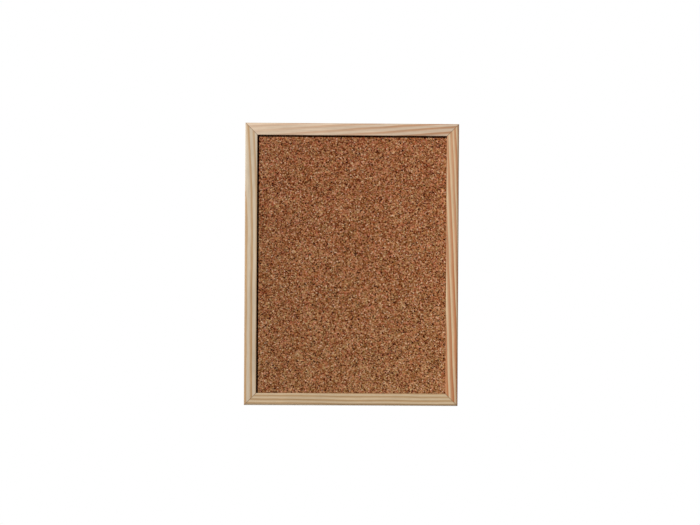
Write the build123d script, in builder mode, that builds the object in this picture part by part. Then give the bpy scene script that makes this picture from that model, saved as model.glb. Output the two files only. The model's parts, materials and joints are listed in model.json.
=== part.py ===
from build123d import *

import os
from math import cos, radians, sin

# A small cork bulletin board in a pine frame, hung on a wall by two ring hangers.
# Frame: +Z up, +X to the right of someone reading the board, +Y into the wall.
# Origin: on the back plane of the frame, midway between the two points where the
# rings bear on their wall hooks. Everything in millimetres.

# ---- driving dimensions ----
board_width = 303.0
board_height = 400.0
hang_drop = 45.0  # from the top edge down to where the rings bear on the hooks

# pine moulding: a rectangular section with a rabbet cut in from the back
frame_depth = 14.0
face_width = 17.5
rabbet_width = 5.0
lip_thickness = 5.0
outer_round = 4.0
inner_round = 1.0
back_ease = 0.5

# panel: cork on softboard, pinched under the lip
panel_clearance = 0.5
cork_thickness = 3.0
cork_crown = 0.2  # how far the unpinched cork stands above its pinched border
crown_inset = 0.1
backing_thickness = 4.0

# V-nails across the mitres, driven from the back
nail_wing = 4.0
nail_gauge = 0.5
nail_length = 7.0
nail_insets = (2.5, 7.0)  # of each apex, from both outer edges

# framer's points shot into the rabbet wall, flat on the softboard
point_width = 6.0
point_gauge = 0.4
point_overlap = 8.5
point_bite = 5.0
point_tip = 2.5
rail_point_pitch = 130.0
stile_point_pitch = 125.0

# ring hangers: a folded steel strap, a D ring of round wire and one screw
sheet = 0.6
fold_gap = 0.1
strap_width = 8.0
strap_tail = 18.0  # from the ring's pivot to the end of the strap
strap_knee = 4.5  # from the ring's pivot to where the two layers meet
strap_corner = 1.5
wire_radius = 0.8
eye_clearance = 0.05
ring_half_width = 5.2  # to the middle of the wire
ring_bend = 1.2
ring_side = 3.5  # height at which the sides turn into the bow
ring_seam = 0.3
ring_lean = 2.3  # degrees that the raised ring leans back on the wood

screw_drop = 13.0  # from the ring's pivot
screw_hole_radius = 1.6
screw_shank_radius = 1.35
screw_length = 10.0
screw_tip = 2.5
screw_head_radius = 2.8
screw_head_rim = 0.8
screw_head_height = 2.1
recess_span = 3.0
recess_slot = 0.8
recess_depth = 1.4
recess_taper = 12.0

# ---- places worked out from them ----
half_width = board_width / 2
top_edge = hang_drop
bottom_edge = hang_drop - board_height
mid_height = (top_edge + bottom_edge) / 2
strip_width = face_width - rabbet_width  # of wood behind the rabbet wall
shoulder_y = lip_thickness - frame_depth  # where the lip's inner side lies
rabbet_half_width = half_width - strip_width
rabbet_half_height = board_height / 2 - strip_width
cork_back_y = shoulder_y + cork_thickness
backing_back_y = cork_back_y + backing_thickness

eye_radius = wire_radius + eye_clearance
knuckle_radius = eye_radius + sheet
pivot_y = knuckle_radius
ring_reach = ring_side + ring_half_width  # from the pivot to the middle of the bow
pivot_z = -(ring_reach - wire_radius) * cos(radians(ring_lean))
strap_outer_y = 2 * sheet + fold_gap
hanger_x = half_width - strip_width / 2

front = Vector(0, -1, 0)
back_plane = Plane.XZ  # its normal points to the front
parts = {}


def keep(name, made):
    """Labels a finished piece with its node name."""
    made.part.label = name
    parts[name] = made.part


# ---- V-nails: one pair at each corner ----
for vertical, z_edge, z_in in (("top", top_edge, -1), ("bottom", bottom_edge, 1)):
    for side, x_in in (("left", 1), ("right", -1)):
        with BuildPart() as v_nails:
            with BuildSketch(back_plane):
                for inset in nail_insets:
                    apex_x = -x_in * half_width + x_in * inset
                    apex_z = z_edge + z_in * inset
                    with Locations((apex_x + x_in * nail_wing / 2, apex_z)):
                        Rectangle(nail_wing + nail_gauge, nail_gauge)
                    with Locations((apex_x, apex_z + z_in * nail_wing / 2)):
                        Rectangle(nail_gauge, nail_wing + nail_gauge)
            extrude(amount=nail_length)
        keep(f"v_nails_{vertical}_{side}", v_nails)

# ---- framer's points: two in each rail, three in each stile ----
rail_steps = (-0.5, 0.5)
stile_steps = (-1, 0, 1)
point_rows = {
    "top": [((s * rail_point_pitch, mid_height + rabbet_half_height), 90) for s in rail_steps],
    "bottom": [((s * rail_point_pitch, mid_height - rabbet_half_height), -90) for s in rail_steps],
    "left": [((-rabbet_half_width, mid_height + s * stile_point_pitch), 180) for s in stile_steps],
    "right": [((rabbet_half_width, mid_height + s * stile_point_pitch), 0) for s in stile_steps],
}
for side, places in point_rows.items():
    with BuildPart() as points:
        with BuildSketch(back_plane.offset(-backing_back_y - point_gauge)):
            for place, turn in places:
                with Locations(place):
                    Polygon(
                        (-point_overlap, -point_width / 2),
                        (point_bite - point_tip, -point_width / 2),
                        (point_bite, 0),
                        (point_bite - point_tip, point_width / 2),
                        (-point_overlap, point_width / 2),
                        rotation=turn,
                        align=None,
                    )
        extrude(amount=point_gauge)
    keep(f"framers_points_{side}", points)

# ---- hangers ----
for side, hanger_side in (("left", -1), ("right", 1)):
    centre_x = hanger_side * hanger_x

    # strap: one strip folded round the ring's straight leg, its two layers lying on each other
    with BuildPart() as strap:
        with BuildSketch(Plane.YZ.offset(centre_x - strap_width / 2)):
            with Locations((pivot_y, pivot_z)):
                Circle(knuckle_radius)
            with Locations((sheet / 2, pivot_z - strap_tail / 2)):
                Rectangle(sheet, strap_tail)
            with Locations((strap_outer_y - sheet / 2, pivot_z - (strap_tail + strap_knee) / 2)):
                Rectangle(sheet, strap_tail - strap_knee)
            Polygon(
                (pivot_y + knuckle_radius, pivot_z),
                (strap_outer_y, pivot_z - strap_knee),
                (strap_outer_y - sheet, pivot_z - strap_knee),
                (pivot_y + eye_radius, pivot_z - sheet / 2),
                align=None,
            )
            with Locations((pivot_y, pivot_z)):
                Circle(eye_radius, mode=Mode.SUBTRACT)
        extrude(amount=strap_width)
        tail_corners = strap.edges().filter_by(Axis.Y).group_by(Axis.Z)[0]
        fillet(tail_corners, strap_corner)
        with BuildSketch(back_plane):
            with Locations((centre_x, pivot_z - screw_drop)):
                Circle(screw_hole_radius)
        extrude(amount=-strap_outer_y, mode=Mode.SUBTRACT)
    keep(f"hanger_strap_{side}", strap)

    # screw: pan head with a cross recess, plain shank and a conical tip
    screw_axis = Axis((centre_x, 0, pivot_z - screw_drop), (0, 1, 0))
    screw_end_y = strap_outer_y - screw_length
    crown_y = strap_outer_y + screw_head_height
    with BuildPart() as screw:
        with BuildSketch(Plane.XY.offset(pivot_z - screw_drop)):
            with BuildLine():
                Polyline(
                    (centre_x, crown_y),
                    (centre_x, screw_end_y),
                    (centre_x + screw_shank_radius, screw_end_y + screw_tip),
                    (centre_x + screw_shank_radius, strap_outer_y),
                    (centre_x + screw_head_radius, strap_outer_y),
                    (centre_x + screw_head_radius, strap_outer_y + screw_head_rim),
                )
                TangentArc(
                    (centre_x, crown_y),
                    (centre_x + screw_head_radius, strap_outer_y + screw_head_rim),
                    tangent=(1, 0),
                )
            make_face()
        revolve(axis=screw_axis)
        with BuildSketch(back_plane.offset(-crown_y)):
            with Locations((centre_x, pivot_z - screw_drop)):
                Rectangle(recess_span, recess_slot)
                Rectangle(recess_slot, recess_span)
        extrude(amount=recess_depth, taper=recess_taper, mode=Mode.SUBTRACT)
    keep(f"hanger_screw_{side}", screw)

    # ring: round wire bent to a D, its seam hidden in the strap's knuckle
    ring_up = Vector(0, -sin(radians(ring_lean)), cos(radians(ring_lean)))
    ring_plane = Plane(
        origin=(centre_x, pivot_y, pivot_z), x_dir=(1, 0, 0), z_dir=Vector(1, 0, 0).cross(ring_up)
    )
    leg_end = ring_half_width - ring_bend
    with BuildPart() as ring:
        with BuildLine(ring_plane) as wire:
            Line((ring_seam / 2, 0), (leg_end, 0))
            RadiusArc((leg_end, 0), (ring_half_width, ring_bend), -ring_bend)
            Line((ring_half_width, ring_bend), (ring_half_width, ring_side))
            RadiusArc((ring_half_width, ring_side), (0, ring_reach), -ring_half_width)
            RadiusArc((0, ring_reach), (-ring_half_width, ring_side), -ring_half_width)
            Line((-ring_half_width, ring_side), (-ring_half_width, ring_bend))
            RadiusArc((-ring_half_width, ring_bend), (-leg_end, 0), -ring_bend)
            Line((-leg_end, 0), (-ring_seam / 2, 0))
        with BuildSketch(Plane(origin=wire.wire() @ 0, z_dir=wire.wire() % 0)):
            Circle(wire_radius)
        sweep(path=wire.wire())
    keep(f"hanger_ring_{side}", ring)

# ---- frame: four lengths of moulding, mitred, cut around the steel driven into them ----
members = {
    "top_rail": (Vector(0, 0, top_edge), Vector(0, 0, -1), board_width),
    "bottom_rail": (Vector(0, 0, bottom_edge), Vector(0, 0, 1), board_width),
    "left_stile": (Vector(-half_width, 0, mid_height), Vector(1, 0, 0), board_height),
    "right_stile": (Vector(half_width, 0, mid_height), Vector(-1, 0, 0), board_height),
}
for name, (outer_middle, inward, length) in members.items():
    along = inward.cross(front)
    side = name.split("_")[0]
    with BuildPart() as member:
        with BuildSketch(Plane(origin=outer_middle, x_dir=inward, z_dir=along)) as section:
            Rectangle(face_width, frame_depth, align=Align.MIN)
            with Locations((strip_width, 0)):
                Rectangle(
                    rabbet_width, frame_depth - lip_thickness, align=Align.MIN, mode=Mode.SUBTRACT
                )
            fillet(section.vertices().group_by(Axis.Y)[-1].sort_by(Axis.X)[0], outer_round)
            fillet(section.vertices().group_by(Axis.X)[-1].sort_by(Axis.Y)[-1], inner_round)
            fillet(section.vertices().group_by(Axis.Y)[0], back_ease)
        extrude(amount=length / 2, both=True)
        for end in (-1, 1):
            corner = outer_middle + along * (end * length / 2)
            split(bisect_by=Plane(origin=corner, z_dir=along * end + inward), keep=Keep.BOTTOM)
        steel = [parts[n] for n in parts if n.startswith(("v_nails", "framers_points")) and side in n]
        if name.endswith("stile"):
            steel.append(parts[f"hanger_screw_{side}"])
        for piece in steel:
            add(piece, mode=Mode.SUBTRACT)
    keep(name, member)

# ---- panel ----
panel_width = 2 * (rabbet_half_width - panel_clearance)
panel_height = 2 * (rabbet_half_height - panel_clearance)
sight_width = board_width - 2 * face_width
sight_height = board_height - 2 * face_width

# cork: its border is pinched under the lip and the rest stands a little proud
with BuildPart() as cork:
    with BuildSketch(back_plane.offset(-cork_back_y)):
        with Locations((0, mid_height)):
            Rectangle(panel_width, panel_height)
    extrude(amount=cork_thickness)
    with BuildSketch(back_plane.offset(-shoulder_y)):
        with Locations((0, mid_height)):
            Rectangle(sight_width - 2 * crown_inset, sight_height - 2 * crown_inset)
    extrude(amount=cork_crown)
keep("cork_sheet", cork)

with BuildPart() as backing:
    with BuildSketch(back_plane.offset(-backing_back_y)):
        with Locations((0, mid_height)):
            Rectangle(panel_width, panel_height)
    extrude(amount=backing_thickness)
keep("backing_board", backing)

# ---- write one STEP file for each node ----
os.makedirs("parts", exist_ok=True)
for name, part in parts.items():
    export_step(part, f"parts/{name}.step")
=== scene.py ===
"""Looks of a small cork bulletin board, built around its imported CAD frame.

The lengths of pine moulding, the cork with its pressed granules, the fibre back and the steel fittings are
meshes of their own, made to the places and sizes of their CAD nodes. Lengths are in metres, unless a name
says MM.
"""

import json
import math

import bmesh
import bpy
import numpy as np
from mathutils import Matrix, Vector, noise
from mathutils.geometry import delaunay_2d_cdt

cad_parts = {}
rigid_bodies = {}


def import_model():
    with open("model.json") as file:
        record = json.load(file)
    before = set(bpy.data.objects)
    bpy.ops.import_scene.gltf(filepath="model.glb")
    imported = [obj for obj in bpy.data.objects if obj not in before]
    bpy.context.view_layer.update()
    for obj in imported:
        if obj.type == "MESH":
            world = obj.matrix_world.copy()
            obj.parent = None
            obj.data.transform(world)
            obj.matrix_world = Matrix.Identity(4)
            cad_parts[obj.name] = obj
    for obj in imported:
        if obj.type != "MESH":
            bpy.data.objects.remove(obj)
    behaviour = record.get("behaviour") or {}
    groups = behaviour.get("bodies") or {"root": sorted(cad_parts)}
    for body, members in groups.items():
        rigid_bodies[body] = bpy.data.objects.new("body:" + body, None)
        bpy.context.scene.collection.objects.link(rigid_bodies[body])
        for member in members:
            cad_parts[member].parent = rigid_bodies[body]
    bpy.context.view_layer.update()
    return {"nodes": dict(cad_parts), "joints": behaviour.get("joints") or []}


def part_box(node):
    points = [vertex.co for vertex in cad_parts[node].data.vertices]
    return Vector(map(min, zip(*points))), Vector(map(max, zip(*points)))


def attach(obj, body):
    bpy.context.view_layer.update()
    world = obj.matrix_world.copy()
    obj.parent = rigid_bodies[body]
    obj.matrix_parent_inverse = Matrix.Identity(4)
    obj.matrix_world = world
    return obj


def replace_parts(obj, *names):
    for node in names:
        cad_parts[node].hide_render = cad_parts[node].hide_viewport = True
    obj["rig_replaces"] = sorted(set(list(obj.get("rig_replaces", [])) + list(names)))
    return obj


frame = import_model()

MM = 0.001

# ---- sizes that the CAD boxes don't give ----

STRIP = 12.5 * MM  # wood behind the rabbet wall
LIP = 5.0 * MM
OUTER_ROUND = 4.0 * MM
INNER_ROUND = 1.0 * MM
BACK_EASE = 0.5 * MM
SEAM = 0.16 * MM  # how far each mitre's edges are eased
SHEET = 0.6 * MM
WIRE = 0.8 * MM  # radius
EYE = 0.85 * MM  # inner radius of a strap's knuckle

# ---- what the CAD boxes do give ----

left_low, left_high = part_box("left_stile")
cork_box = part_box("cork_sheet")
board_centre = (left_low.z + left_high.z) / 2
half_width = -left_low.x
half_height = (left_high.z - left_low.z) / 2
face_width = left_high.x - left_low.x
front_y = left_low.y
shoulder_y = front_y + LIP


# ---------------------------------------------------------------- nodes


class Nodes:
    """Adds nodes to a material's tree and links each to what it is given."""

    def __init__(self, material):
        material.use_nodes = True
        self.tree = material.node_tree
        self.tree.nodes.clear()
        self.position = self.add("ShaderNodeTexCoord").outputs["Object"]

    def add(self, kind, inputs=None, **settings):
        node = self.tree.nodes.new(kind)
        for key, value in settings.items():
            setattr(node, key, value)
        for key, value in (inputs or {}).items():
            self.put(node.inputs[key], value)
        return node

    def put(self, socket, value):
        if isinstance(value, bpy.types.NodeSocket):
            self.tree.links.new(value, socket)
        else:
            socket.default_value = value

    def math(self, operation, first, second=0.0, clamp=False):
        node = self.add("ShaderNodeMath", {0: first, 1: second}, operation=operation, use_clamp=clamp)
        return node.outputs[0]

    def attribute(self, name):
        return self.add("ShaderNodeAttribute", attribute_name=name).outputs["Fac"]

    def xyz(self, vector):
        return self.add("ShaderNodeSeparateXYZ", {0: vector}).outputs

    def stretched(self, axes, shift=(0.0, 0.0, 0.0)):
        """The object's position, with each axis scaled on its own."""
        scaled = self.add(
            "ShaderNodeVectorMath", {0: self.position, 1: axes, 2: shift}, operation="MULTIPLY_ADD"
        )
        return scaled.outputs[0]

    def noise(self, vector, scale=1.0, detail=2.0, roughness=0.5):
        inputs = {"Vector": vector, "Scale": scale, "Detail": detail, "Roughness": roughness}
        return self.add("ShaderNodeTexNoise", inputs).outputs[0]

    def remap(self, value, low, high, to_low=0.0, to_high=1.0):
        inputs = {0: value, 1: low, 2: high, 3: to_low, 4: to_high}
        return self.add("ShaderNodeMapRange", inputs).outputs[0]

    def around(self, value, middle, spread):
        """A noise's usual range, moved to lie evenly around a middle value."""
        return self.remap(value, 0.3, 0.7, middle - spread, middle + spread)

    def ramp(self, factor, stops, interpolation="LINEAR"):
        node = self.add("ShaderNodeValToRGB", {0: factor})
        node.color_ramp.interpolation = interpolation
        elements = node.color_ramp.elements
        while len(elements) < len(stops):
            elements.new(0.5)
        for element, (position, colour) in zip(elements, stops):
            element.position = position
            element.color = colour
        return node.outputs[0]

    def mix(self, factor, first, second, blend="MIX"):
        node = self.add("ShaderNodeMix", data_type="RGBA", blend_type=blend)
        self.put(node.inputs[0], factor)
        self.put(node.inputs[6], first)
        self.put(node.inputs[7], second)
        return node.outputs[2]

    def times(self, colour, red, green, blue):
        """A colour with each channel multiplied on its own."""
        factors = self.add("ShaderNodeCombineColor", {0: red, 1: green, 2: blue}).outputs[0]
        return self.mix(1.0, colour, factors, "MULTIPLY")

    def bump(self, height, distance):
        inputs = {"Height": height, "Distance": distance, "Strength": 1.0}
        return self.add("ShaderNodeBump", inputs).outputs[0]

    def surface(self, **inputs):
        """The shader and the output, with inputs named as Blender names them, an underscore for a space."""
        shader = self.add("ShaderNodeBsdfPrincipled")
        for key, value in inputs.items():
            self.put(shader.inputs[key.replace("_", " ")], value)
        output = self.add("ShaderNodeOutputMaterial")
        self.tree.links.new(shader.outputs[0], output.inputs[0])


def srgb(red, green, blue):
    """A linear colour from an sRGB one of 0 to 255."""
    linear = [((v / 255 + 0.055) / 1.055) ** 2.4 if v > 10 else v / 255 / 12.92 for v in (red, green, blue)]
    return (*linear, 1.0)


def grey(value):
    return (value, value, value, 1.0)


# ---------------------------------------------------------------- materials

# ---- pine: noise cells to a metre, along a member and across it ----

STRAY = (12.0, 0.0)
RIPPLE = (16.0, 130.0)
FIBRES = (34.0, 1900.0)
STREAKS = (12.0, 520.0)
FLECKS = (75.0, 900.0)
BLOTCHES = (13.0, 60.0)
DUCTS = (300.0, 3600.0)

STRAY_REACH = 2.0 * MM  # how far the growth rings wander
RIPPLE_REACH = 0.35  # of a ring
RING_DIP = 0.6  # how far the growth rings move across the face for each metre of depth
RING_VARIETY = (0.85, 1.1)  # the weakest and the strongest ring
SEAM_DIRT = (0.15 * MM, 0.9 * MM)  # where the dirt along a mitre starts to fade and where it ends


def pine(node, rings, phase, slant, bend, early, late, share, contrast, drift, seed):
    """Sealed pine, sawn so that its growth rings cross the face as stripes along the member.

    rings is the stripes' spacing on the face at the member's low and high end, and phase shifts them. slant
    is their slope, and bend is where along the member they begin to curve away, and how much. early and late
    are the colours of a ring's two parts, and share is how much of it is late. contrast is how strong the
    stripes are at the low and high end, and drift is how much lighter the high end is.
    """
    material = bpy.data.materials.new(f"pine_{node}")
    n = Nodes(material)
    x, y, z = n.xyz(n.position)
    is_rail = node.endswith("rail")
    half_length = half_width if is_rail else half_height
    length = x if is_rail else n.math("SUBTRACT", z, board_centre)
    low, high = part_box(node)
    middle = (low.z + high.z) / 2 if is_rail else (low.x + high.x) / 2
    across = n.math("SUBTRACT", z if is_rail else x, middle)

    def wood_noise(cells, shift, **settings):
        lengthways, crossways = cells
        rail_axes = (lengthways, crossways, crossways)
        return n.noise(n.stretched(rail_axes if is_rail else rail_axes[::-1], shift), **settings)

    def along(at_low, at_high):
        return n.remap(length, -half_length, half_length, at_low, at_high)

    # which ring a point lies in, and how far through it
    stray = n.math("SUBTRACT", wood_noise(STRAY, (seed, seed, seed), detail=1.0), 0.5)
    ripple = n.math("SUBTRACT", wood_noise(RIPPLE, (seed, 0.0, seed)), 0.5)
    past = n.math("MAXIMUM", n.math("SUBTRACT", length, bend[0]), 0.0)
    place = n.math("SUBTRACT", across, n.math("MULTIPLY", length, slant))
    place = n.math("SUBTRACT", place, n.math("MULTIPLY", n.math("MULTIPLY", past, past), bend[1]))
    place = n.math("ADD", place, n.math("MULTIPLY", stray, STRAY_REACH))
    place = n.math("ADD", place, n.math("MULTIPLY", n.math("SUBTRACT", y, front_y), RING_DIP))
    count = n.math("DIVIDE", place, along(*rings))
    count = n.math("ADD", count, n.math("MULTIPLY", ripple, RIPPLE_REACH))
    count = n.math("ADD", count, phase)
    which = n.add("ShaderNodeTexWhiteNoise", {"W": n.math("FLOOR", count)}, noise_dimensions="1D").outputs[0]

    # the late wood lies round the middle of each ring, and its upper side is the sharper
    late_wood = [
        (0.0, 0.0), (0.5 - share * 0.62, 0.04), (0.5, 0.8),
        (0.5 + share * 0.28, 1.0), (0.5 + share * 0.5, 0.12), (1.0, 0.0),
    ]
    dark = n.ramp(n.math("FRACT", count), [(at, grey(depth)) for at, depth in late_wood], "EASE")
    strength = n.math("MULTIPLY", along(*contrast), n.remap(which, 0.0, 1.0, *RING_VARIETY))
    dark = n.math("MULTIPLY", dark, strength, clamp=True)
    colour = n.mix(dark, early, late)

    fibre = wood_noise(FIBRES, (seed, 0.0, 0.0), detail=4.0, roughness=0.6)
    streak = wood_noise(STREAKS, (0.0, seed, 0.0))
    fleck = wood_noise(FLECKS, (seed, seed, seed))
    blotch = wood_noise(BLOTCHES, (0.0, 0.0, seed))
    duct = wood_noise(DUCTS, (seed, seed, 0.0), detail=0.0)
    shade = n.math("ADD", n.remap(fibre, 0.25, 0.75, -0.08, 0.08), n.around(streak, 1.0, 0.05))
    shade = n.math("MULTIPLY", shade, n.around(blotch, 1.0, 0.05))
    shade = n.math("MULTIPLY", shade, n.around(fleck, 1.0, 0.06))
    shade = n.math("MULTIPLY", shade, along(1 - drift / 2, 1 + drift / 2))
    shade = n.math("SUBTRACT", shade, n.remap(duct, 0.72, 0.78, 0.0, 0.14))
    colour = n.times(colour, shade, shade, shade)

    # dust and glue darken the mitres' seams, which are as far from the member's end as from its outer edge
    outer_side = 1.0 if node in ("top_rail", "right_stile") else -1.0
    half_across = half_height - abs(middle - board_centre) if is_rail else half_width - abs(middle)
    from_edge = n.math("SUBTRACT", half_across, n.math("MULTIPLY", across, outer_side))
    from_end = n.math("SUBTRACT", half_length, n.math("ABSOLUTE", length))
    from_seam = n.math("ABSOLUTE", n.math("SUBTRACT", from_end, from_edge))
    colour = n.mix(n.remap(from_seam, *SEAM_DIRT, 0.62, 0.0), colour, srgb(96, 64, 40))

    relief = n.math("ADD", n.math("MULTIPLY", fibre, 0.6), n.math("MULTIPLY", dark, 0.4))
    n.surface(
        Base_Color=colour,
        Roughness=n.remap(dark, 0.0, 1.0, 0.58, 0.48),
        Normal=n.bump(relief, 0.05 * MM),
        Specular_IOR_Level=0.2,
    )
    return material


# ---- cork: flakes and noise cells to a metre ----

CHIPS = 760.0
SPECKS = 590.0
LUMPS = 380.0
PORES = 2100.0
RAGGED = 1100.0
RAGGED_REACH = 0.45 * MM
WIDE_TINT = 75.0
SMALL_TINT = 300.0
WIDE_TONE = 22.0

DARK_SPECKS = 0.2  # share of the specks
LIGHT_SPECKS = 0.035
DARK_LUMPS = 0.03  # share of the lumps
# painted shade of small pits, laid on as dark specks and lumps
PIT_SHADE_SPECK = srgb(46, 4, 0)
PIT_SHADE_LUMP = srgb(46, 6, 0)
PALE_CORK = srgb(222, 184, 152)
# painted shade in the gaps and pits between granules
GAP_PAINTED_SHADE = srgb(58, 16, 4)
# the green of cork from its darkest tone to its palest, and how far its red is above that and its blue below
CORK_GREENS = ((0.0, 6), (0.12, 38), (0.3, 74), (0.5, 97), (0.7, 114), (0.88, 132), (1.0, 158))
CORK_RED = 53
CORK_BLUE = 38
LIP_PAINTED_SHADE = (0.3 * MM, 2.4 * MM)  # where the painted shade along the lip starts to fade and where it ends


def cork():
    """Pressed cork: each granule has its own tone and tint, with chips and pale specks over them, and with
    dark specks and lumps painted as the shade in small pits.
    """
    material = bpy.data.materials.new("cork_granules")
    n = Nodes(material)
    x, _, z = n.xyz(n.position)
    height = n.math("SUBTRACT", z, board_centre)

    inputs = {"Vector": n.position, "Scale": RAGGED, "Detail": 2.0}
    ragged = n.add("ShaderNodeTexNoise", inputs).outputs["Color"]
    reach = {0: ragged, 1: (2 * RAGGED_REACH,) * 3, 2: (-RAGGED_REACH,) * 3}
    ragged = n.add("ShaderNodeVectorMath", reach, operation="MULTIPLY_ADD").outputs[0]
    ragged = n.add("ShaderNodeVectorMath", {0: n.position, 1: ragged}, operation="ADD").outputs[0]

    def flakes(cells):
        """Flakes with ragged edges: two random values for each, and the distance from its middle."""
        flake = n.add("ShaderNodeTexVoronoi", {"Vector": ragged, "Scale": cells}, feature="F1")
        first, second, _ = n.add("ShaderNodeSeparateColor", {0: flake.outputs["Color"]}).outputs
        return first, second, flake.outputs["Distance"]

    chip_tone, chip_tint, _ = flakes(CHIPS)
    pores = n.noise(n.position, PORES, detail=3.0, roughness=0.65)
    tone = n.remap(n.attribute("tone"), 0.0, 1.0, 0.48, 0.62)
    tone = n.math("ADD", tone, n.remap(chip_tone, 0.0, 1.0, -0.45, 0.45))
    tone = n.math("ADD", tone, n.remap(pores, 0.25, 0.75, -0.15, 0.15))
    tone = n.math("ADD", tone, n.around(n.noise(n.position, WIDE_TONE), 0.0, 0.025))
    corks = [(at, srgb(green + CORK_RED, green, max(green - CORK_BLUE, 0))) for at, green in CORK_GREENS]
    colour = n.ramp(tone, corks)

    tint = n.remap(n.attribute("tint"), 0.0, 1.0, -0.16, 0.16)
    tint = n.math("ADD", tint, n.around(n.noise(n.position, WIDE_TINT), 0.0, 0.05))
    tint = n.math("ADD", tint, n.around(n.noise(n.position, SMALL_TINT, detail=1.0), 0.0, 0.16))
    # the sheet is a little redder at its top
    green = n.math("ADD", tint, n.remap(height, -half_height, half_height, 1.055, 0.92))
    blue = n.math("ADD", green, n.remap(chip_tint, 0.0, 1.0, -0.22, 0.22))
    colour = n.times(colour, 1.0, green, blue)

    kind, depth, off_middle = flakes(SPECKS)
    body = n.math("MULTIPLY", n.remap(off_middle, 0.6, 0.45), n.remap(depth, 0.0, 1.0, 0.7, 1.0))
    # dark specks and lumps: painted shade of small pits
    colour = n.mix(n.math("MULTIPLY", n.math("LESS_THAN", kind, DARK_SPECKS), body), colour, PIT_SHADE_SPECK)
    lump_kind, _, lump_off_middle = flakes(LUMPS)
    is_dark = n.math("LESS_THAN", lump_kind, DARK_LUMPS)
    lump_body = n.remap(lump_off_middle, 0.55, 0.42)
    colour = n.mix(n.math("MULTIPLY", is_dark, lump_body), colour, PIT_SHADE_LUMP)
    is_light = n.math("GREATER_THAN", kind, 1 - LIGHT_SPECKS)
    colour = n.mix(n.math("MULTIPLY", is_light, body), colour, PALE_CORK)
    # painted shade, darker where a gap between granules is deeper and darkest in a torn pit
    gap_shade = n.math("MULTIPLY", n.math("POWER", n.attribute("gap"), 2.5), 0.75)
    colour = n.mix(gap_shade, colour, GAP_PAINTED_SHADE)

    # painted shade darkens it along the lip, in the recess under the frame, and it is a little lighter on
    # its right
    from_side = n.math("SUBTRACT", half_width - face_width, n.math("ABSOLUTE", x))
    from_end = n.math("SUBTRACT", half_height - face_width, n.math("ABSOLUTE", height))
    shade = n.remap(n.math("MINIMUM", from_side, from_end), *LIP_PAINTED_SHADE, 0.76, 1.0)
    shade = n.math("MULTIPLY", shade, n.remap(x, -half_width, half_width, 0.895, 1.105))
    colour = n.times(colour, shade, shade, shade)

    relief = n.math("ADD", pores, n.math("MULTIPLY", chip_tone, 0.5))
    n.surface(
        Base_Color=colour,
        Roughness=n.remap(pores, 0.2, 0.8, 0.8, 0.94),
        Normal=n.bump(relief, 0.2 * MM),
        Specular_IOR_Level=0.06,
    )
    return material


FELT_DIRECTIONS = (12.0, 51.0, 96.0, 143.0)  # degrees, one for each layer of fibres
# noise cells to a metre: along a fibre, through the board and across a fibre
FELT_CELLS = (330.0, 900.0, 2300.0)
WEAVE_PITCH = 1.6 * MM


def fibreboard():
    """Felted wood fibre, lying every way, with the faint weave of the screen that it was pressed on."""
    material = bpy.data.materials.new("softboard_felt")
    n = Nodes(material)
    fibres = 0.0
    for degrees in FELT_DIRECTIONS:
        inputs = {
            "Vector": n.position,
            "Location": (degrees * MM, 0.0, degrees * MM),
            "Rotation": (0.0, math.radians(degrees), 0.0),
            "Scale": tuple(1 / cells for cells in FELT_CELLS),
        }
        turned = n.add("ShaderNodeMapping", inputs, vector_type="TEXTURE").outputs[0]
        fibres = n.math("MAXIMUM", fibres, n.noise(turned, detail=3.0, roughness=0.65))
    drift = n.noise(n.position, 18.0, detail=3.0)
    x, _, z = n.xyz(n.position)
    turns = 2 * math.pi / WEAVE_PITCH
    warp, weft = (n.math("SINE", n.math("MULTIPLY", axis, turns)) for axis in (x, z))
    weave = n.math("MULTIPLY", warp, weft)
    bark = n.noise(n.position, 1400.0, detail=1.0)
    tones = [
        (0.42, srgb(112, 85, 57)), (0.56, srgb(148, 118, 85)),
        (0.66, srgb(170, 141, 106)), (0.8, srgb(198, 173, 137)),
    ]
    colour = n.ramp(n.math("ADD", fibres, n.around(drift, 0.0, 0.03)), tones)
    colour = n.mix(n.remap(bark, 0.7, 0.78), colour, srgb(84, 60, 38))
    relief = n.math("ADD", fibres, n.math("MULTIPLY", weave, 0.15))
    n.surface(Base_Color=colour, Roughness=0.93, Normal=n.bump(relief, 0.15 * MM), Specular_IOR_Level=0.2)
    return material


def steel(name, base, tarnish, roughness, marks_cells):
    """Steel with fine rolling marks, patchy plating and a little tarnish.

    marks_cells is the marks' noise cells to a metre along x, y and z.
    """
    material = bpy.data.materials.new(name)
    n = Nodes(material)
    marks = n.noise(n.stretched(marks_cells), detail=3.0, roughness=0.6)
    patch = n.noise(n.position, 260.0, detail=3.0)
    fine = n.noise(n.position, 2600.0)
    colour = n.mix(n.remap(patch, 0.42, 0.7), base, tarnish)
    colour = n.mix(n.remap(fine, 0.3, 0.7, 0.0, 0.12), colour, tarnish)
    patchy = n.remap(patch, 0.3, 0.7, roughness - 0.06, roughness + 0.1)
    relief = n.math("ADD", marks, n.math("MULTIPLY", fine, 0.4))
    n.surface(
        Base_Color=colour,
        Metallic=1.0,
        Roughness=n.math("ADD", patchy, n.around(marks, 0.0, 0.04)),
        Normal=n.bump(relief, 0.02 * MM),
    )
    return material


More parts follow.
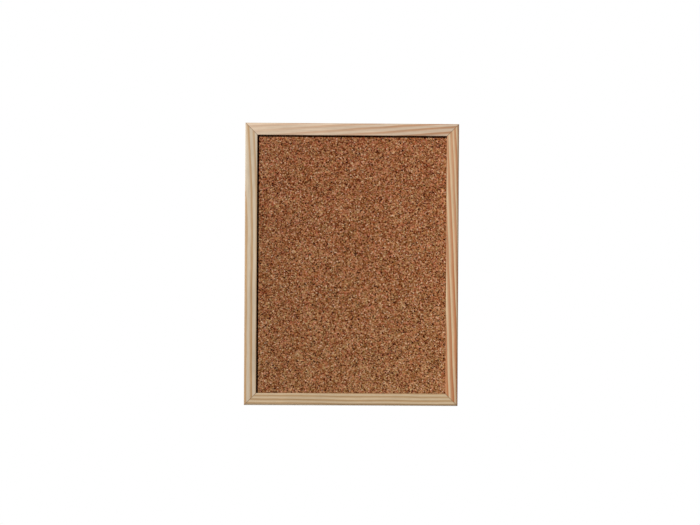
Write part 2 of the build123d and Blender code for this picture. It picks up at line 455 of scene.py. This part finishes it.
WOODS = {
    "top_rail": pine(
        "top_rail", rings=(7.6 * MM, 7.2 * MM), phase=0.59, slant=0.0795, bend=(0.0, 0.0),
        early=srgb(211, 187, 161), late=srgb(177, 118, 73), share=0.6, contrast=(0.18, 1.0), drift=-0.14,
        seed=3.1,
    ),
    "bottom_rail": pine(
        "bottom_rail", rings=(5.2 * MM, 5.2 * MM), phase=0.7, slant=-0.008, bend=(0.0, 0.0),
        early=srgb(200, 176, 143), late=srgb(169, 133, 91), share=0.62, contrast=(1.0, 1.0), drift=0.03,
        seed=8.7,
    ),
    "left_stile": pine(
        "left_stile", rings=(7.7 * MM, 7.7 * MM), phase=0.39, slant=0.0, bend=(0.01, -0.175),
        early=srgb(204, 186, 161), late=srgb(178, 136, 88), share=0.56, contrast=(1.05, 0.86), drift=0.13,
        seed=5.4,
    ),
    "right_stile": pine(
        "right_stile", rings=(7.9 * MM, 5.4 * MM), phase=0.51, slant=-0.047, bend=(0.0, 0.0),
        early=srgb(213, 185, 148), late=srgb(180, 110, 66), share=0.8, contrast=(1.15, 0.75), drift=0.03,
        seed=1.9,
    ),
}
CORK = cork()
SOFTBOARD = fibreboard()
BRIGHT = steel("bright_steel_strip", srgb(190, 190, 192), srgb(140, 136, 130), 0.34, (500.0, 500.0, 6000.0))
ZINC = steel("zinc_plate", srgb(206, 208, 212), srgb(158, 160, 166), 0.27, (3000.0, 3000.0, 700.0))


# ---------------------------------------------------------------- meshes


def piece(name, vertices, faces, material, smooth_angle=35.0):
    """A new object from points and faces, shaded smooth except across edges sharper than smooth_angle."""
    mesh = bpy.data.meshes.new(name)
    mesh.from_pydata([tuple(v) for v in vertices], [], faces)
    mesh.materials.append(material)
    made = bpy.data.objects.new(name, mesh)
    bpy.context.scene.collection.objects.link(made)
    form = bmesh.new()
    form.from_mesh(mesh)
    bmesh.ops.recalc_face_normals(form, faces=form.faces)
    for face in form.faces:
        face.smooth = True
    for edge in form.edges:
        if len(edge.link_faces) == 2 and edge.calc_face_angle(0.0) > math.radians(smooth_angle):
            edge.smooth = False
    form.to_mesh(mesh)
    form.free()
    return made


def even_shading(made):
    """Makes large flat faces keep their shading flat up to the rounded edges beside them."""
    modifier = made.modifiers.new("even_shading", "WEIGHTED_NORMAL")
    modifier.keep_sharp = True


def stand_for(made, body, node):
    """Makes a piece ride on its body, in the place of its CAD node."""
    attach(made, body)
    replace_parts(made, node)


def arc(centre, radius, start, end, steps):
    """Points along an arc in a plane, with angles in degrees."""
    angles = [math.radians(start + (end - start) * i / steps) for i in range(steps + 1)]
    return [(centre[0] + radius * math.cos(a), centre[1] + radius * math.sin(a)) for a in angles]


def circle(centre, radius, count):
    return arc(centre, radius, 0, 360 - 360 / count, count - 1)


def tube_faces(rings, count):
    """Faces of a closed skin over rings of count points each."""
    faces = []
    for r in range(rings - 1):
        for i in range(count):
            j = (i + 1) % count
            faces.append((r * count + i, r * count + j, (r + 1) * count + j, (r + 1) * count + i))
    faces.append(tuple(reversed(range(count))))
    faces.append(tuple(range((rings - 1) * count, rings * count)))
    return faces


# ---- the frame ----

SEAM_RUN = 1.6 * SEAM  # how far along a member the easing of its mitre reaches


def moulding_section(inset=0.0):
    """The moulding's section: distance in from the outer edge, and distance forward of the back."""
    depth = -front_y
    section = []
    section += arc((BACK_EASE, BACK_EASE), BACK_EASE - inset, 270, 180, 4)
    section += arc((OUTER_ROUND, depth - OUTER_ROUND), OUTER_ROUND - inset, 180, 90, 12)
    section += arc((face_width - INNER_ROUND, depth - INNER_ROUND), INNER_ROUND - inset, 90, 0, 6)
    section += [(face_width - inset, depth - LIP + inset), (STRIP - inset, depth - LIP + inset)]
    section += arc((STRIP - BACK_EASE, BACK_EASE), BACK_EASE - inset, 0, -90, 4)
    return section


def moulding(node):
    """One mitred member, its mitre edges eased so that each joint shows as a fine line."""
    low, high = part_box(node)
    is_rail = high.x - low.x > high.z - low.z
    half_length = half_width if is_rail else half_height
    is_low = node in ("bottom_rail", "left_stile")
    section = moulding_section()
    eased = moulding_section(SEAM)
    stations = [(-1, 0.0, eased), (-1, SEAM_RUN, section), (1, SEAM_RUN, section), (1, 0.0, eased)]
    vertices = []
    for end, back_off, outline in stations:
        for inward, forward in outline:
            along = end * (half_length - inward - back_off)
            across = inward if is_low else -inward
            if is_rail:
                vertices.append((along, -forward, (low.z if is_low else high.z) + across))
            else:
                vertices.append(((low.x if is_low else high.x) + across, -forward, board_centre + along))
    made = piece(f"{node}_wood", vertices, tube_faces(len(stations), len(section)), WOODS[node])
    stand_for(made, "board", node)


for node in WOODS:
    moulding(node)


# ---- the cork ----

CORK_SEED = 11
GRANULE = 2.0 * MM
GROOVE = (0.03 * MM, 0.3 * MM)  # how deep the gaps between granules are
# how much painted shade the deepest groove gets
GROOVE_PAINTED_SHADE = 0.75
PIT = (0.5 * MM, 1.0 * MM)  # how deep a gap is where a granule's corner has torn out
PIT_SHARE = 0.03
WALL_PAINTED_SHADE = 0.2  # painted gap shade of the sheet's walls and back
LOW_MIDDLE = 0.1 * MM  # the most that a granule's middle is sanded below the rest
MISSING_SHARE = 0.14  # of the grid's squares
SPLIT_SHARE = 0.12  # of the granules
SHEET_MARGIN = 0.1 * MM  # that seeds keep from the sheet's edges
PINCH_START = 0.1 * MM  # from the lip's edge inwards
PINCH_RUN = 1.2 * MM


def granule_seeds(random, width, height):
    """Points at uneven distances, at most one to each square of a grid but for a few split ones."""
    columns = round(width / GRANULE)
    rows = round(height / GRANULE)
    grid = np.stack(np.meshgrid(np.arange(columns), np.arange(rows)), -1).reshape(-1, 2)
    seeds = (grid + random.uniform(0.04, 0.96, grid.shape)) * (width / columns, height / rows)
    kept = seeds[random.uniform(size=len(seeds)) > MISSING_SHARE]
    split = kept[random.uniform(size=len(kept)) < SPLIT_SHARE]
    crumbs = split + random.uniform(-0.45, 0.45, split.shape) * GRANULE
    furthest = (width - SHEET_MARGIN, height - SHEET_MARGIN)
    return np.clip(np.concatenate([kept, crumbs]), SHEET_MARGIN, furthest)


def granule_cells(seeds, width, height):
    """Each seed's cell, whose corners are the middles of the circles through neighbouring seeds.

    Seeds mirrored in the sheet's edges make the cells end there.
    """
    all_seeds = [seeds]
    for axis, edge in ((0, 0.0), (0, width), (1, 0.0), (1, height)):
        near = seeds[np.abs(seeds[:, axis] - edge) < 5 * GRANULE].copy()
        near[:, axis] = 2 * edge - near[:, axis]
        all_seeds.append(near)
    points = np.concatenate(all_seeds) / MM
    found, _, triangles, *_ = delaunay_2d_cdt([Vector(p) for p in points], [], [], 0, 1e-6)
    found = np.array(found)
    triangles = np.array(triangles)
    a, b, c = (found[triangles[:, i]] for i in range(3))
    d = 2 * (a[:, 0] * (b[:, 1] - c[:, 1]) + b[:, 0] * (c[:, 1] - a[:, 1]) + c[:, 0] * (a[:, 1] - b[:, 1]))
    sa, sb, sc = ((p ** 2).sum(1) for p in (a, b, c))
    centre_x = (sa * (b[:, 1] - c[:, 1]) + sb * (c[:, 1] - a[:, 1]) + sc * (a[:, 1] - b[:, 1])) / d
    centre_y = (sa * (c[:, 0] - b[:, 0]) + sb * (a[:, 0] - c[:, 0]) + sc * (b[:, 0] - a[:, 0])) / d
    corners = np.stack([centre_x, centre_y], 1) * MM
    around = [[] for _ in found]
    for index, triangle in enumerate(triangles):
        for seed in triangle:
            around[seed].append(index)
    inside = (found > 0).all(1) & (found < (width / MM, height / MM)).all(1)
    cells = []
    for seed in np.flatnonzero(inside):
        middle = found[seed] * MM
        ordered = sorted(around[seed], key=lambda i: math.atan2(*(corners[i] - middle)[::-1]))
        cells.append(ordered)
    return corners, cells


def cork_sheet():
    """The pressed sheet: sanded granules with gaps and pits between them, lower where the lip pinches it."""
    low, high = cork_box
    width, height = high.x - low.x, high.z - low.z
    random = np.random.RandomState(CORK_SEED)
    corners, cells = granule_cells(granule_seeds(random, width, height), width, height)

    sight_x, sight_z = half_width - face_width, half_height - face_width

    def surface(x, z):
        """The sanded face's y, which falls under the lip."""
        inside = min(sight_x - abs(x), sight_z - abs(z - board_centre))
        proud = min(max((inside - PINCH_START) / PINCH_RUN, 0.0), 1.0)
        return shoulder_y - (shoulder_y - low.y) * math.sqrt(proud)

    merged = {}
    vertices, gaps, faces, tones, tints = [], [], [], [], []

    def corner_vertex(index):
        x, z = corners[index]
        x, z = min(max(x, 0.0), width), min(max(z, 0.0), height)
        key = (round(x / MM, 3), round(z / MM, 3))
        if key not in merged:
            merged[key] = len(vertices)
            torn = random.uniform() < PIT_SHARE
            depth = random.uniform(*(PIT if torn else GROOVE))
            vertices.append((low.x + x, surface(low.x + x, low.z + z) + depth, low.z + z))
            # each corner's gap value sets how much painted shade it gets, full in a torn pit
            gaps.append(1.0 if torn else depth / GROOVE[1] * GROOVE_PAINTED_SHADE)
        return merged[key]

    for cell in cells:
        outline = []
        for index in cell:
            vertex = corner_vertex(index)
            if vertex not in outline:
                outline.append(vertex)
        if len(outline) < 3:
            continue
        x, _, z = np.mean([vertices[v] for v in outline], axis=0)
        tone, tint = random.uniform(size=2)
        centre = len(vertices)
        vertices.append((x, surface(x, z) + random.uniform(0.0, LOW_MIDDLE), z))
        gaps.append(0.0)
        for start, end in zip(outline, outline[1:] + outline[:1]):
            faces.append((start, end, centre))
            tones.append(tone)
            tints.append(tint)

    mesh = bpy.data.meshes.new("cork_face")
    mesh.from_pydata(vertices, [], faces)
    form = bmesh.new()
    form.from_mesh(mesh)
    rim = [edge for edge in form.edges if edge.is_boundary]
    walls = bmesh.ops.extrude_edge_only(form, edges=rim)["geom"]
    back = [v for v in walls if isinstance(v, bmesh.types.BMVert)]
    for vertex in back:
        vertex.co.y = high.y
    back_rim = [edge for edge in walls if isinstance(edge, bmesh.types.BMEdge) and edge.is_boundary]
    bmesh.ops.contextual_create(form, geom=back_rim)
    bmesh.ops.recalc_face_normals(form, faces=form.faces)
    for face in form.faces:
        # the granules and walls have three or four corners, the flat back has many
        face.smooth = len(face.verts) <= 4
    form.to_mesh(mesh)
    form.free()
    extra_faces = len(mesh.polygons) - len(tones)
    extra_vertices = len(mesh.vertices) - len(gaps)
    for name, domain, values in (
        ("tone", "FACE", tones + [0.5] * extra_faces),
        ("tint", "FACE", tints + [0.5] * extra_faces),
        ("gap", "POINT", gaps + [WALL_PAINTED_SHADE] * extra_vertices),
    ):
        mesh.attributes.new(name, "FLOAT", domain).data.foreach_set("value", values)
    mesh.materials.append(CORK)
    made = bpy.data.objects.new("cork_face", mesh)
    bpy.context.scene.collection.objects.link(made)
    stand_for(made, "board", "cork_sheet")


cork_sheet()


# ---- the backing board ----

BACKING_EASE = 0.6 * MM
BACKING_SWELL = 0.12 * MM
SWELLS = 40.0  # to a metre
BACKING_STEP = 2.5 * MM


def backing():
    """Softboard with crushed edges and a faintly uneven back, as pressed wet felt dries."""
    low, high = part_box("backing_board")
    width, height = high.x - low.x, high.z - low.z

    def steps(start, end, count):
        """Places from edge to edge, closer together on the eased edges."""
        inner = np.linspace(start + BACKING_EASE, end - BACKING_EASE, count)
        close = BACKING_EASE * 0.3
        return [start, start + close, *inner, end - close, end]

    across = steps(low.x, high.x, round(width / BACKING_STEP))
    along = steps(low.z, high.z, round(height / BACKING_STEP))

    def back_y(x, z):
        inside = min(x - low.x, high.x - x, z - low.z, high.z - z)
        short = max(BACKING_EASE - inside, 0.0)
        ease = BACKING_EASE - math.sqrt(max(BACKING_EASE ** 2 - short ** 2, 0.0))
        swell = noise.fractal(Vector((x, 0.0, z)) * SWELLS, 1.0, 2.0, 3)
        return high.y - ease - BACKING_SWELL * (0.5 + 0.5 * max(min(swell, 1.0), -1.0))

    vertices = [(x, back_y(x, z), z) for z in along for x in across]
    count = len(across)
    faces = [
        (r * count + c, r * count + c + 1, (r + 1) * count + c + 1, (r + 1) * count + c)
        for r in range(len(along) - 1)
        for c in range(count - 1)
    ]
    rim = [*range(count), *range(2 * count - 1, len(vertices), count)]
    rim += [*range(len(vertices) - 2, len(vertices) - count - 1, -1)]
    rim += [*range(len(vertices) - 2 * count, 0, -count)]
    start = len(vertices)
    vertices += [(vertices[i][0], low.y, vertices[i][2]) for i in rim]
    for i in range(len(rim)):
        j = (i + 1) % len(rim)
        faces.append((rim[i], rim[j], start + j, start + i))
    faces.append(tuple(range(start, start + len(rim))))
    made = piece("softboard", vertices, faces, SOFTBOARD, 60.0)
    stand_for(made, "board", "backing_board")


backing()


# ---- the steel driven into the frame ----

NAIL_GAUGE = 0.5 * MM
NAIL_INSETS = (2.5 * MM, 7.0 * MM)
NAIL_WING = 4.0 * MM
NAIL_PROUD = 0.04 * MM
POINT_WIDTH = 6.0 * MM
POINT_GAUGE = 0.4 * MM
POINT_EASE = 0.1 * MM
POINT_OVERLAP = 8.5 * MM  # from the rabbet wall in over the softboard
POINT_CORNER = 0.3 * MM
POINT_BITE = 5.0 * MM  # from the rabbet wall into the wood
POINT_TIP = 2.5 * MM
POINT_CURL = 0.35 * MM  # how far the tail bends up from the softboard
POINT_FLAT = 4.0 * MM  # of the overlap, before the bend
RAIL_POINT_PITCH = 130.0 * MM
STILE_POINT_PITCH = 125.0 * MM


def joined(parts):
    """Several (points, faces) as one."""
    vertices, faces = [], []
    for points, loops in parts:
        faces += [tuple(i + len(vertices) for i in loop) for loop in loops]
        vertices += points
    return vertices, faces


def v_nails(node):
    """One corner's two V-nails: a thin strip bent at a right angle, its apex towards the corner."""
    low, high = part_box(node)
    x_in = 1 if node.endswith("left") else -1
    z_in = -1 if "top" in node else 1
    corner = (-x_in * half_width, board_centre - z_in * half_height)
    half = NAIL_GAUGE / 2
    tip = NAIL_WING + half
    bend = [(0.0, -half), (tip, -half), (tip, half), *arc((half * 3, half * 3), half * 2, 270, 180, 4)]
    bend += [(half, tip), (-half, tip), (-half, 0.0)]
    parts = []
    for inset in NAIL_INSETS:
        levels = (low.y, high.y + NAIL_PROUD)
        points = [
            (corner[0] + x_in * (inset + u), level, corner[1] + z_in * (inset + v))
            for level in levels
            for u, v in bend
        ]
        parts.append((points, tube_faces(2, len(bend))))
    made = piece(f"{node}_steel", *joined(parts), BRIGHT)
    stand_for(made, "board", node)


def framers_points(node):
    """One member's row of flat points, driven into the rabbet wall, with their tails bent up a little."""
    low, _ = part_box(node)
    side = node.rsplit("_", 1)[1]
    outward = {"top": (0, 1), "bottom": (0, -1), "left": (-1, 0), "right": (1, 0)}[side]
    on_rail = outward[0] == 0
    pitch, steps = (RAIL_POINT_PITCH, (-0.5, 0.5)) if on_rail else (STILE_POINT_PITCH, (-1, 0, 1))
    wall = (half_height if on_rail else half_width) - STRIP
    stations = [-POINT_OVERLAP, -POINT_OVERLAP + 0.4 * MM, -7.0 * MM, -5.5 * MM, -POINT_FLAT, 0.0]
    stations += [POINT_BITE - POINT_TIP, POINT_BITE - 0.2 * MM]
    parts = []
    for step in steps:
        points = []
        for u in stations:
            half = POINT_WIDTH / 2 * min(1.0, (POINT_BITE - u) / POINT_TIP)
            half -= POINT_CORNER if u == -POINT_OVERLAP else 0.0
            bent = (-POINT_FLAT - u) / (POINT_OVERLAP - POINT_FLAT)
            lift = POINT_CURL * min(max(bent, 0.0), 1.0) ** 2
            flat = half - POINT_EASE
            upper = POINT_GAUGE - POINT_EASE
            section = [(-half, POINT_EASE), (-half, upper), (-flat, POINT_GAUGE), (flat, POINT_GAUGE)]
            section += [(half, upper), (half, POINT_EASE), (flat, 0.0), (-flat, 0.0)]
            for v, level in section:
                x = outward[0] * (wall + u) + (step * pitch + v if on_rail else 0.0)
                z = outward[1] * (wall + u) + (0.0 if on_rail else step * pitch + v)
                points.append((x, low.y + level + lift, board_centre + z))
        parts.append((points, tube_faces(len(stations), len(section))))
    made = piece(f"{node}_steel", *joined(parts), BRIGHT)
    stand_for(made, "board", node)


for node in frame["nodes"]:
    if node.startswith("v_nails"):
        v_nails(node)
    if node.startswith("framers_points"):
        framers_points(node)


# ---- the ring hangers ----

STRAP_KNEE = 4.5 * MM  # from the ring's pivot down to where the strap's layers meet
KNEE_BEND = 0.9 * MM
STRAP_CORNER = 1.5 * MM
CORNER_STEPS = (0.9 * MM, 0.4 * MM, 0.15 * MM, 0.05 * MM, 0.0)  # from the tail's end
STRAP_EDGE = 0.15 * MM
TAIL_EDGE = 0.03 * MM
FOLD_GAP = 0.1 * MM
RING_BEND = 1.2 * MM
RING_SIDE = 3.5 * MM
RING_SEAM = 0.3 * MM
RING_LEAN = math.radians(2.3)
HEAD_RIM = 0.8 * MM
HEAD_HEIGHT = 2.1 * MM
SHANK = 1.35 * MM  # radius
SCREW_TIP = 2.5 * MM
SCREW_HOLE = 1.6 * MM  # radius
RECESS_SPAN = 3.0 * MM
RECESS_SLOT = 0.8 * MM
RECESS_DEPTH = 1.4 * MM
RECESS_TAPER = math.tan(math.radians(12.0))
DRILL_BEYOND = 5.0 * MM  # the strap, on both sides
DRILL_SIDES = 48
WIRE_SIDES = 24
SCREW_SIDES = 48
HEAD_EASE = 0.12 * MM
SLIVER = 0.01 * MM  # the widest gap between points that a cut closes


def cut(made, cutter):
    """Takes the cutter's shape away from a piece, closes the slivers left, and removes the cutter."""
    modifier = made.modifiers.new("cut", "BOOLEAN")
    modifier.operation = "DIFFERENCE"
    modifier.solver = "EXACT"
    modifier.object = cutter
    evaluated = made.evaluated_get(bpy.context.evaluated_depsgraph_get())
    made.data = bpy.data.meshes.new_from_object(evaluated)
    made.modifiers.clear()
    bpy.data.objects.remove(cutter)
    form = bmesh.new()
    form.from_mesh(made.data)
    bmesh.ops.remove_doubles(form, verts=form.verts, dist=SLIVER)
    bmesh.ops.dissolve_degenerate(form, edges=form.edges, dist=SLIVER / 10)
    form.to_mesh(made.data)
    form.free()


def strap(side, pivot):
    """A strip folded round the ring's leg, its two layers lying on each other behind the screw."""
    low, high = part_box(f"hanger_strap_{side}")
    radius = EYE + SHEET / 2
    knee = Vector((low.y + SHEET * 1.5 + FOLD_GAP - pivot.y, -STRAP_KNEE))
    leaves = math.degrees(math.atan2(knee.y, knee.x) + math.acos(radius / knee.length))
    tail = low.z - pivot.z
    corner_steps = (STRAP_CORNER, *CORNER_STEPS)
    inner = [(-radius, tail + v) for v in reversed(corner_steps)]
    inner += [(-radius, tail / 2)]
    fold = arc((0.0, 0.0), radius, 180, leaves, 24)
    into = knee + (Vector(fold[-1]) - knee).normalized() * KNEE_BEND
    out_of = knee + Vector((0.0, -KNEE_BEND))
    outer = [tuple(into.lerp(knee, t).lerp(knee.lerp(out_of, t), t)) for t in (0.0, 0.25, 0.5, 0.75, 1.0)]
    outer += [(knee.x, tail + v) for v in corner_steps]
    path = [Vector(p) for p in inner + fold + outer]
    half = (high.x - low.x) / 2
    vertices = []
    for i, point in enumerate(path):
        along = (path[min(i + 1, len(path) - 1)] - path[max(i - 1, 0)]).normalized()
        outward = Vector((-along.y, along.x))
        from_end = min(point.y - tail, STRAP_CORNER)
        reach = half - STRAP_CORNER + math.sqrt(STRAP_CORNER ** 2 - (STRAP_CORNER - from_end) ** 2)
        edge = min(STRAP_EDGE, max(from_end, 0.0) * 0.8 + TAIL_EDGE)
        thick = SHEET / 2 - (STRAP_EDGE - edge)
        section = []
        for across, level, start in ((1, 1, 0), (-1, 1, 90), (-1, -1, 180), (1, -1, 270)):
            section += arc((across * (reach - edge), level * (thick - edge)), edge, start, start + 90, 3)
        for u, v in section:
            y, z = point + outward * v
            vertices.append((pivot.x + u, pivot.y + y, pivot.z + z))
    made = piece(f"strap_{side}", vertices, tube_faces(len(path), len(section)), ZINC, 40.0)
    screw_low, screw_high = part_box(f"hanger_screw_{side}")
    centre = (screw_low + screw_high) / 2
    drill = [
        (centre.x + u, y, centre.z + v)
        for y in (low.y - DRILL_BEYOND, high.y + DRILL_BEYOND)
        for u, v in circle((0, 0), SCREW_HOLE, DRILL_SIDES)
    ]
    cut(made, piece("drill", drill, tube_faces(2, DRILL_SIDES), ZINC))
    even_shading(made)
    stand_for(made, "board", f"hanger_strap_{side}")


def ring(side, pivot):
    """Round wire bent to a D. Its cut ends meet inside the strap's fold."""
    low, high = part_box(f"hanger_ring_{side}")
    half = (high.x - low.x) / 2 - WIRE
    leg = half - RING_BEND
    path = [(RING_SEAM / 2, 0.0), (leg / 2, 0.0)]
    path += arc((leg, RING_BEND), RING_BEND, -90, 0, 10)
    path += arc((0.0, RING_SIDE), half, 0, 180, 48)
    path += arc((-leg, RING_BEND), RING_BEND, 180, 270, 10)
    path += [(-leg / 2, 0.0), (-RING_SEAM / 2, 0.0)]
    path = [Vector(p) for p in path]
    up = Vector((0.0, -math.sin(RING_LEAN), math.cos(RING_LEAN)))
    normal = Vector((1.0, 0.0, 0.0)).cross(up)
    vertices = []
    for i, point in enumerate(path):
        along = (path[min(i + 1, len(path) - 1)] - path[max(i - 1, 0)]).normalized()
        sideways = Vector((1.0, 0.0, 0.0)) * along.y - up * along.x
        centre = pivot + Vector((point.x, 0.0, 0.0)) + up * point.y
        vertices += [centre + sideways * u + normal * v for u, v in circle((0, 0), WIRE, WIRE_SIDES)]
    made = piece(f"ring_{side}", vertices, tube_faces(len(path), WIRE_SIDES), ZINC)
    stand_for(made, f"ring_{side}", f"hanger_ring_{side}")


def cross(half_span, half_slot):
    """The outline of a cross."""
    quarter = [(half_span, -half_slot), (half_span, half_slot), (half_slot, half_slot)]
    return [
        (u * math.cos(a) - v * math.sin(a), u * math.sin(a) + v * math.cos(a))
        for a in (0.0, math.pi / 2, math.pi, math.pi * 1.5)
        for u, v in quarter
    ]


def screw(side):
    """A pan-head screw with a cross recess and a conical tip."""
    low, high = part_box(f"hanger_screw_{side}")
    centre = (low + high) / 2
    head = (high.x - low.x) / 2
    seat = high.y - HEAD_HEIGHT
    dome = HEAD_HEIGHT - HEAD_RIM
    sphere = (head ** 2 + dome ** 2) / (2 * dome)
    steepest = math.degrees(math.asin(head / sphere))
    profile = [(0.02 * MM, low.y), (SHANK / 2, low.y + SCREW_TIP / 2), (SHANK, low.y + SCREW_TIP)]
    profile += [(SHANK, seat), (head - HEAD_EASE, seat), (head, seat + HEAD_EASE)]
    profile += [(head, seat + HEAD_RIM - 0.1 * MM)]
    domed = arc((0.0, high.y - sphere), sphere, 90 - steepest, 90, 16)
    profile += [(r, y) for r, y in domed if 0.05 * MM < r < head - 0.05 * MM]
    round_axis = circle((0, 0), 1.0, SCREW_SIDES)
    vertices = [(centre.x + r * u, y, centre.z + r * v) for r, y in profile for u, v in round_axis]
    made = piece(f"screw_{side}", vertices, tube_faces(len(profile), SCREW_SIDES), ZINC)
    cutter = []
    for depth in (-0.5 * MM, RECESS_DEPTH):
        inset = depth * RECESS_TAPER
        outline = cross(RECESS_SPAN / 2 - inset, RECESS_SLOT / 2 - inset)
        cutter += [(centre.x + u, high.y - depth, centre.z + v) for u, v in outline]
    cut(made, piece("driver", cutter, tube_faces(2, len(outline)), ZINC, 30.0))
    even_shading(made)
    stand_for(made, "board", f"hanger_screw_{side}")


for joint in frame["joints"]:
    side = joint["child"].split("_")[1]
    pivot = Vector(joint["pos_m"])
    strap(side, pivot)
    ring(side, pivot)
    screw(side)


# ---- the slots and holes that the steel has made in the wood ----

for node in WOODS:
    wood = bpy.data.objects[f"{node}_wood"]
    side = node.split("_")[0]
    for steel_piece in list(bpy.data.objects):
        replaced = steel_piece.get("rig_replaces", [""])[0]
        if replaced.startswith(("v_nails", "framers_points", "hanger_screw")) and side in replaced:
            copy = bpy.data.objects.new("driven", steel_piece.data.copy())
            bpy.context.scene.collection.objects.link(copy)
            cut(wood, copy)
    even_shading(wood)


# ---------------------------------------------------------------- stage, light and camera

FLOOR_DROP = 1.0  # below the board
FLOOR_RADIUS = 0.6
KEY_SLOPE = 0.54  # how far the key light stands left and up, for each metre in front
KEY_STRENGTH = 3.74
KEY_SPREAD = math.radians(1.0)
REAR_STRENGTH = 1.9  # of each light behind the board, none of which reaches the front
REAR_SPREAD = math.radians(25.0)
REAR_LIGHTS = {
    "rear_left": (1.0, -0.7, -0.3),
    "rear_right": (-1.0, -0.5, -0.5),
    "rear_low": (0.1, -0.8, 1.0),
}
FILL = 0.004  # of the white surround, as it lights the board
REFLECTED = 0.17  # of the white surround, as polished pieces reflect it


def sun(name, towards, strength, spread):
    light = bpy.data.lights.new(name, "SUN")
    light.energy = strength
    light.angle = spread
    made = bpy.data.objects.new(name, light)
    made.rotation_mode = "QUATERNION"
    made.rotation_quaternion = Vector(towards).to_track_quat("-Z", "Y")
    bpy.context.scene.collection.objects.link(made)


def stage():
    """A pale floor well below the hanging board, a white surround that lights little, and the lamps."""
    level = board_centre - half_height - FLOOR_DROP
    rim = [(x, y, level) for x, y in circle((0.0, 0.0), FLOOR_RADIUS, 120)]
    mesh = bpy.data.meshes.new("floor")
    mesh.from_pydata(rim, [], [tuple(range(len(rim)))])
    floor = bpy.data.objects.new("floor", mesh)
    bpy.context.scene.collection.objects.link(floor)
    material = bpy.data.materials.new("pale_floor")
    n = Nodes(material)
    n.surface(Base_Color=srgb(236, 235, 232), Roughness=0.8)
    mesh.materials.append(material)

    world = bpy.data.worlds.new("white_surround")
    bpy.context.scene.world = world
    world.use_nodes = True
    tree = world.node_tree
    path = tree.nodes.new("ShaderNodeLightPath")
    background = tree.nodes["Background"]
    background.inputs["Color"].default_value = (1.0, 1.0, 1.0, 1.0)
    off_camera = tree.nodes.new("ShaderNodeMath")
    off_camera.operation = "MULTIPLY_ADD"
    off_camera.inputs[1].default_value = REFLECTED - FILL
    off_camera.inputs[2].default_value = FILL
    tree.links.new(path.outputs["Is Glossy Ray"], off_camera.inputs[0])
    strength = tree.nodes.new("ShaderNodeMath")
    strength.operation = "MAXIMUM"
    tree.links.new(path.outputs["Is Camera Ray"], strength.inputs[0])
    tree.links.new(off_camera.outputs[0], strength.inputs[1])
    tree.links.new(strength.outputs[0], background.inputs["Strength"])

    sun("key", (KEY_SLOPE, 1.0, -KEY_SLOPE), KEY_STRENGTH, KEY_SPREAD)
    for name, towards in REAR_LIGHTS.items():
        sun(name, towards, REAR_STRENGTH, REAR_SPREAD)


CAMERA_PLACE = (-0.026, -2.011, -0.148)
CAMERA_LENS_MM = 72.6
CAMERA_YAW = 0.68  # degrees to the right
CAMERA_PITCH = -0.12
CAMERA_ROLL = 0.34  # anticlockwise, so that the board leans clockwise


def camera():
    data = bpy.data.cameras.new("camera")
    data.lens = CAMERA_LENS_MM
    made = bpy.data.objects.new("camera", data)
    yaw, pitch, roll = (math.radians(v) for v in (CAMERA_YAW, CAMERA_PITCH, CAMERA_ROLL))
    level = Matrix.Rotation(-yaw, 4, "Z") @ Matrix.Rotation(math.pi / 2 + pitch, 4, "X")
    made.matrix_world = Matrix.Translation(CAMERA_PLACE) @ level @ Matrix.Rotation(roll, 4, "Z")
    bpy.context.scene.collection.objects.link(made)
    bpy.context.scene.camera = made
    bpy.context.scene.view_settings.view_transform = "Standard"


stage()
camera()
